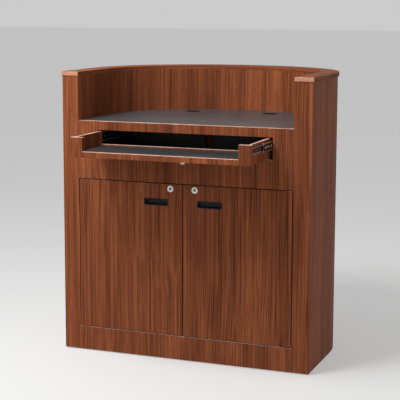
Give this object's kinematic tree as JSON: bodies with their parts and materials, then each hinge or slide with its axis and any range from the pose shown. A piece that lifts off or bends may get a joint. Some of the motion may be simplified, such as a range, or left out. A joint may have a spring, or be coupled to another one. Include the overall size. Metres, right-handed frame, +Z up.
{
  "type": "computer desk with keyboard tray",
  "caption": "Standing-height desk with a bowed hollow wall round a recessed worktop, a pull-out keyboard tray on ball slides and two locking cabinet doors.",
  "frame": {"origin": "on the floor, under the middle of the desk's bounding box with the tray pulled right out", "axes": "+X to the user's right, +Y away from the user towards the bowed side, +Z up"},
  "size_m": [1.132, 1.093, 1.23],
  "materials": {
    "wood_laminate": "satin reddish walnut, upright grain",
    "carcass_board": "bare plywood and particle board",
    "black_board": "black melamine",
    "dark_laminate": "charcoal laminate",
    "black_plastic": "moulded black plastic",
    "nylon": "plain black nylon",
    "zinc_steel": "zinc plated steel",
    "lock_nickel": "bright nickel plate"
  },
  "bodies": {
    "case": {"outer_skin": "wood_laminate", "wall_base_plate": "carcass_board", "wall_upper_plates": "carcass_board", "wall_studs": "carcass_board", "left_stile": "wood_laminate", "right_stile": "wood_laminate", "wall_cap": "wood_laminate", "floor_glides": "nylon", "door_pivots": "zinc_steel", "case_screws": "zinc_steel", "face_panel": "wood_laminate", "kick_rail": "wood_laminate", "cabinet_floor": "black_board", "floor_bearers": "carcass_board", "shelves": "black_board", "shelf_pins": "zinc_steel", "centre_partition": "black_board", "inner_skin": "wood_laminate", "tray_deck": "black_board", "tray_hangers": "black_board", "tray_bay_back": "black_board", "worktop": "carcass_board", "worktop_surface": "dark_laminate", "cable_grommets": "black_plastic", "worktop_cleats": "carcass_board", "door_magnets": "black_plastic", "tray_lock_body": "lock_nickel", "tray_lock_nut": "zinc_steel", "case_slides": "zinc_steel"},
    "left_door": {"left_door": "wood_laminate", "left_door_bushes": "nylon", "left_pull": "black_plastic", "left_catch_plate": "zinc_steel", "left_lock_body": "lock_nickel", "left_lock_nut": "zinc_steel"},
    "right_door": {"right_door": "wood_laminate", "right_door_bushes": "nylon", "right_pull": "black_plastic", "right_catch_plate": "zinc_steel", "right_lock_body": "lock_nickel", "right_lock_nut": "zinc_steel"},
    "left_lock": {"left_lock_plug": "lock_nickel", "left_lock_cam": "zinc_steel"},
    "right_lock": {"right_lock_plug": "lock_nickel", "right_lock_cam": "zinc_steel"},
    "tray_lock": {"tray_lock_plug": "lock_nickel", "tray_lock_cam": "zinc_steel"},
    "tray": {"tray_screws": "zinc_steel", "tray_front": "wood_laminate", "tray_back": "wood_laminate", "tray_left_side": "wood_laminate", "tray_right_side": "wood_laminate", "tray_floor": "dark_laminate", "tray_strike": "zinc_steel", "tray_slides": "zinc_steel"},
    "slide_middles": {"middle_slides": "zinc_steel"},
    "outer_balls": {"outer_ball_retainers": "zinc_steel"},
    "inner_balls": {"inner_ball_retainers": "zinc_steel"}
  },
  "joints": [
    {"name": "tray_travel", "type": "slide", "parent": "case", "child": "tray", "axis": [0, -1, 0], "range_m": [-0.262, 0]},
    {"name": "middle_travel", "type": "slide", "parent": "case", "child": "slide_middles", "axis": [0, -1, 0], "range_m": [-0.131, 0]},
    {"name": "outer_ball_travel", "type": "slide", "parent": "case", "child": "outer_balls", "axis": [0, -1, 0], "range_m": [-0.0655, 0]},
    {"name": "inner_ball_travel", "type": "slide", "parent": "case", "child": "inner_balls", "axis": [0, -1, 0], "range_m": [-0.1965, 0]},
    {"name": "left_door_swing", "type": "hinge", "parent": "case", "child": "left_door", "pos_m": [-0.468, -0.278, 0.438], "axis": [0, 0, -1], "range_deg": [0, 110]},
    {"name": "right_door_swing", "type": "hinge", "parent": "case", "child": "right_door", "pos_m": [0.468, -0.278, 0.438], "axis": [0, 0, 1], "range_deg": [0, 110]},
    {"name": "left_lock_turn", "type": "hinge", "parent": "left_door", "child": "left_lock", "pos_m": [-0.055, -0.2725, 0.745], "axis": [0, 1, 0], "range_deg": [0, 90]},
    {"name": "right_lock_turn", "type": "hinge", "parent": "right_door", "child": "right_lock", "pos_m": [0.055, -0.2725, 0.745], "axis": [0, -1, 0], "range_deg": [0, 90]},
    {"name": "tray_lock_turn", "type": "hinge", "parent": "case", "child": "tray_lock", "pos_m": [0, -0.2725, 0.866], "axis": [0, -1, 0], "range_deg": [0, 90]}
  ],
  "couplings": [
    {"joint": "middle_travel", "follows": "tray_travel", "ratio": 0.5},
    {"joint": "outer_ball_travel", "follows": "tray_travel", "ratio": 0.25},
    {"joint": "inner_ball_travel", "follows": "tray_travel", "ratio": 0.75}
  ]
}
